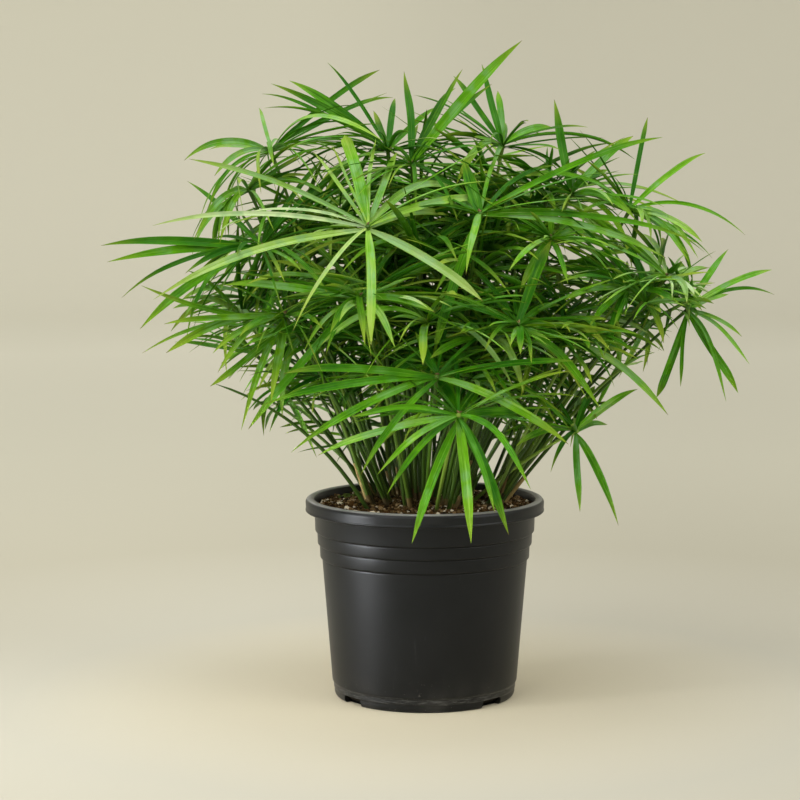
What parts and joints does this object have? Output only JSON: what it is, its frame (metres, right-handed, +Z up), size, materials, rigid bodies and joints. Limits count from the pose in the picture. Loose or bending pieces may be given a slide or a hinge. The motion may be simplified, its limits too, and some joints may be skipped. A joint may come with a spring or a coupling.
{
  "type": "potted umbrella plant",
  "caption": "Umbrella plant: a clump of tall stems topped with radiating strap leaves, growing in bark mix in a round black nursery pot.",
  "frame": {"origin": "middle of the pot's flat underside", "axes": "+Z up along the pot's axis, -Y towards the plant's front, +X to the viewer's right"},
  "size_m": [0.6711, 0.5293, 0.6594],
  "materials": {
    "pot_plastic": "satin",
    "bark_soil": "matte",
    "foliage": "satin"
  },
  "bodies": {
    "root": {"pot": "pot_plastic", "soil": "bark_soil", "leafy_stem_01": "foliage", "leafy_stem_02": "foliage", "leafy_stem_03": "foliage", "leafy_stem_04": "foliage", "leafy_stem_05": "foliage", "leafy_stem_06": "foliage", "leafy_stem_07": "foliage", "leafy_stem_08": "foliage", "leafy_stem_09": "foliage", "leafy_stem_10": "foliage", "leafy_stem_11": "foliage", "leafy_stem_12": "foliage", "leafy_stem_13": "foliage", "leafy_stem_14": "foliage", "leafy_stem_15": "foliage", "leafy_stem_16": "foliage", "leafy_stem_17": "foliage", "leafy_stem_18": "foliage", "leafy_stem_19": "foliage", "leafy_stem_20": "foliage", "leafy_stem_21": "foliage", "leafy_stem_22": "foliage", "leafy_stem_23": "foliage", "leafy_stem_24": "foliage", "leafy_stem_25": "foliage", "leafy_stem_26": "foliage", "leafy_stem_27": "foliage", "leafy_stem_28": "foliage", "leafy_stem_29": "foliage", "leafy_stem_30": "foliage", "leafy_stem_31": "foliage", "leafy_stem_32": "foliage", "leafy_stem_33": "foliage", "leafy_stem_34": "foliage", "leafy_stem_35": "foliage", "leafy_stem_36": "foliage", "leafy_stem_37": "foliage", "leafy_stem_38": "foliage", "leafy_stem_39": "foliage", "leafy_stem_40": "foliage", "leafy_stem_41": "foliage", "leafy_stem_42": "foliage", "leafy_stem_43": "foliage", "leafy_stem_44": "foliage", "leafy_stem_45": "foliage", "leafy_stem_46": "foliage", "leafy_stem_47": "foliage", "leafy_stem_48": "foliage", "leafy_stem_49": "foliage", "leafy_stem_50": "foliage", "leafy_stem_51": "foliage", "leafy_stem_52": "foliage", "leafy_stem_53": "foliage", "leafy_stem_54": "foliage", "leafy_stem_55": "foliage", "leafy_stem_56": "foliage", "young_shoot_1": "foliage", "young_shoot_2": "foliage"}
  },
  "joints": []
}
